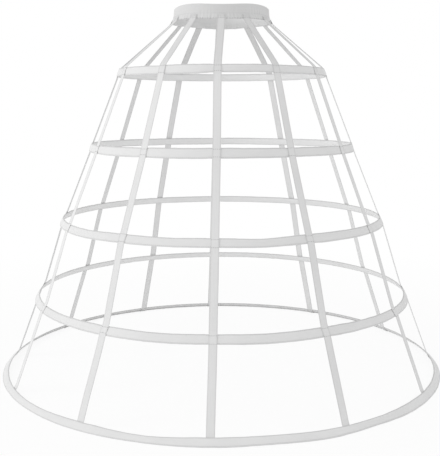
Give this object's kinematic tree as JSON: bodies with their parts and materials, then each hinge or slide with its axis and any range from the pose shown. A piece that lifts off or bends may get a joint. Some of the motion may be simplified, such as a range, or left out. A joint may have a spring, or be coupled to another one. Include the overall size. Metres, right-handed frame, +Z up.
{
  "type": "crinoline cage",
  "caption": "Open hooped petticoat frame: cloth-cased spring hoops hung on cloth tapes from a gathered elastic waistband, to hold a long skirt out.",
  "frame": {"origin": "on the floor under the centre of the cage, which stands on its lowest hoop", "axes": "+Z up along the axis of the hoops and the waistband, -Y the front, +X the wearer's left"},
  "size_m": [1.0462, 1.0462, 0.834],
  "materials": {
    "waistband_cloth": "white cotton, gathered",
    "elastic": "woven white elastic",
    "casing_cloth": "white cotton, stitched at both edges",
    "tape_cloth": "white woven tape with stitched edges",
    "spring_steel": "bright flat spring steel",
    "ferrule_metal": "pressed plated sheet"
  },
  "bodies": {
    "root": {"waistband": "waistband_cloth", "waist_elastic": "elastic", "hoop_casing_1": "casing_cloth", "hoop_casing_2": "casing_cloth", "hoop_casing_3": "casing_cloth", "hoop_casing_4": "casing_cloth", "hoop_casing_hem": "casing_cloth", "hoop_steel_1": "spring_steel", "hoop_steel_2": "spring_steel", "hoop_steel_3": "spring_steel", "hoop_steel_4": "spring_steel", "hoop_steel_hem": "spring_steel", "hoop_ferrule_1": "ferrule_metal", "hoop_ferrule_2": "ferrule_metal", "hoop_ferrule_3": "ferrule_metal", "hoop_ferrule_4": "ferrule_metal", "hoop_ferrule_hem": "ferrule_metal", "tape_01": "tape_cloth", "tape_02": "tape_cloth", "tape_03": "tape_cloth", "tape_04": "tape_cloth", "tape_05": "tape_cloth", "tape_06": "tape_cloth", "tape_07": "tape_cloth", "tape_08": "tape_cloth", "tape_09": "tape_cloth", "tape_10": "tape_cloth", "tape_11": "tape_cloth", "tape_12": "tape_cloth"}
  },
  "joints": []
}
